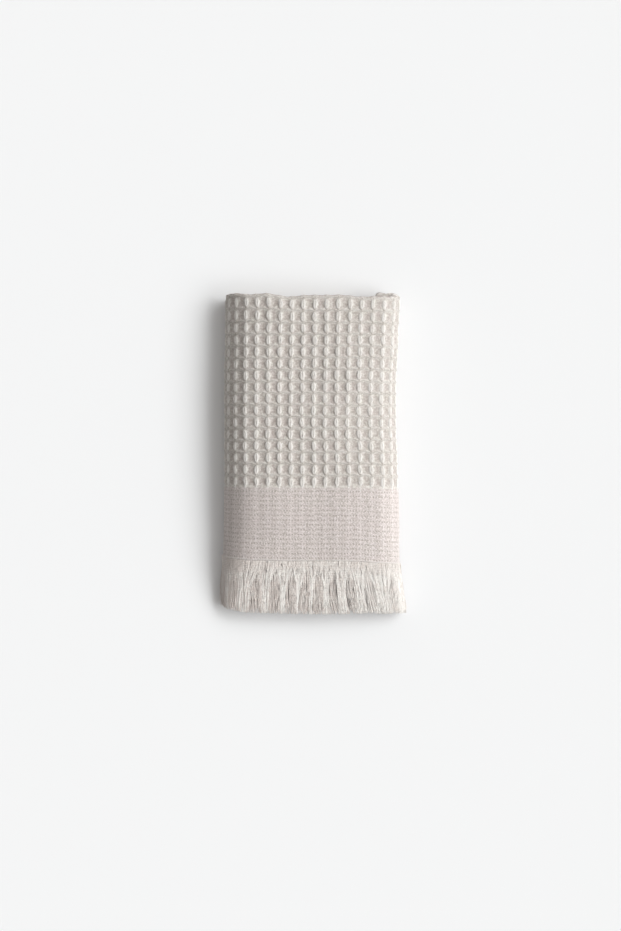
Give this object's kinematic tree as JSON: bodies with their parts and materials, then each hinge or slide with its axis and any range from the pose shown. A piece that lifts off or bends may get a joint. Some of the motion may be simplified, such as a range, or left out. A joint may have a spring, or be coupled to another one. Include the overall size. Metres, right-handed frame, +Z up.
{
  "type": "fringed waffle hand towel, folded",
  "caption": "Waffle-weave hand towel with a flat ribbed band and a thread fringe, folded into a soft rectangular pile that lies flat.",
  "frame": {"origin": "middle of the base: the centre of the pile's bounding box, at the height of the surface it lies on", "axes": "+Z up; +Y along the folded towel, from the fringe to the cross fold; +X across it, from the large left roll to the smaller right roll"},
  "size_m": [0.1834, 0.3092, 0.0391],
  "materials": {
    "waffle_cloth": "undyed cream cotton in a soft waffle weave, matt, with a fine flat ribbed band at the hem",
    "fringe_threads": "loose undyed cotton warp threads, matt and slightly fluffy"
  },
  "bodies": {
    "root": {"towel": "waffle_cloth", "fringe_outer": "fringe_threads", "fringe_back": "fringe_threads"}
  },
  "joints": []
}
